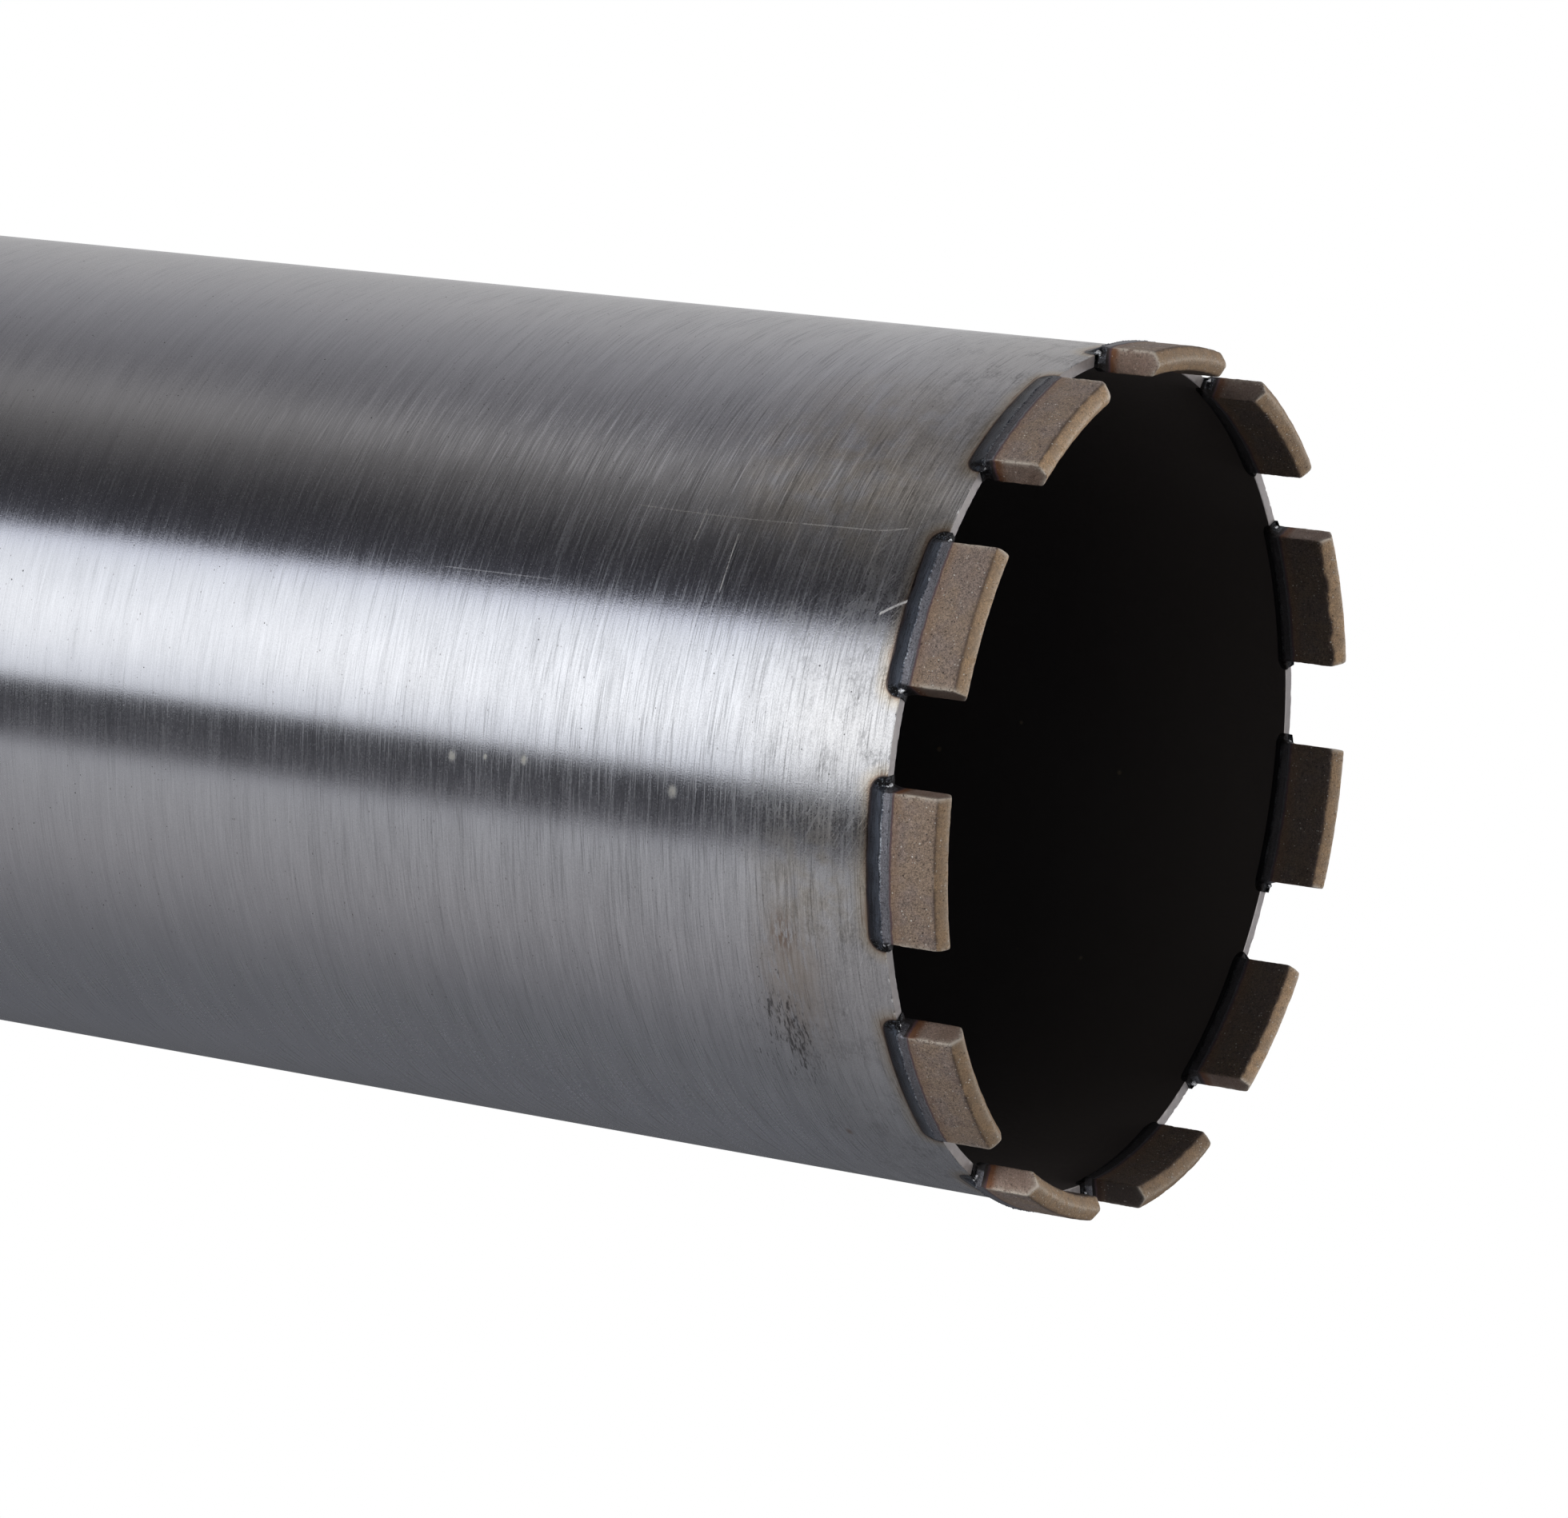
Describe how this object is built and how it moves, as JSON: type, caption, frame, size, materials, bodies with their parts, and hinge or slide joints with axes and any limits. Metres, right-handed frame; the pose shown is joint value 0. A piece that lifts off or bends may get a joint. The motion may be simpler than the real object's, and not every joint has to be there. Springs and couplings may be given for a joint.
{
  "type": "diamond core bit",
  "caption": "Open steel tube with a ring of diamond cutting segments at its mouth and a threaded hub at its closed end, for drilling round cores out of concrete.",
  "frame": {"origin": "on the bit's axis, level with the ridges of the cutting segments, which it stands on", "axes": "+Z along the axis from the cutting ring to the threaded hub, +X through the middle of segment_01"},
  "size_m": [0.1417, 0.142, 0.493],
  "materials": {
    "tube_steel": "ground around the axis, with fine scratches, stains and heat tint beside the welds",
    "segment_matrix": "sintered metal powder with diamond grit, matt and pitted",
    "laser_weld": "smooth weld metal under dark blue oxide",
    "machined_steel": "turned and milled",
    "bead_weld": "rippled weld bead"
  },
  "bodies": {
    "root": {"barrel_tube": "tube_steel", "end_plate": "machined_steel", "threaded_hub": "machined_steel", "plate_weld": "bead_weld", "hub_weld": "bead_weld", "segment_01": "segment_matrix", "segment_02": "segment_matrix", "segment_03": "segment_matrix", "segment_04": "segment_matrix", "segment_05": "segment_matrix", "segment_06": "segment_matrix", "segment_07": "segment_matrix", "segment_08": "segment_matrix", "segment_09": "segment_matrix", "segment_10": "segment_matrix", "segment_11": "segment_matrix", "segment_weld_01": "laser_weld", "segment_weld_02": "laser_weld", "segment_weld_03": "laser_weld", "segment_weld_04": "laser_weld", "segment_weld_05": "laser_weld", "segment_weld_06": "laser_weld", "segment_weld_07": "laser_weld", "segment_weld_08": "laser_weld", "segment_weld_09": "laser_weld", "segment_weld_10": "laser_weld", "segment_weld_11": "laser_weld"}
  },
  "joints": []
}
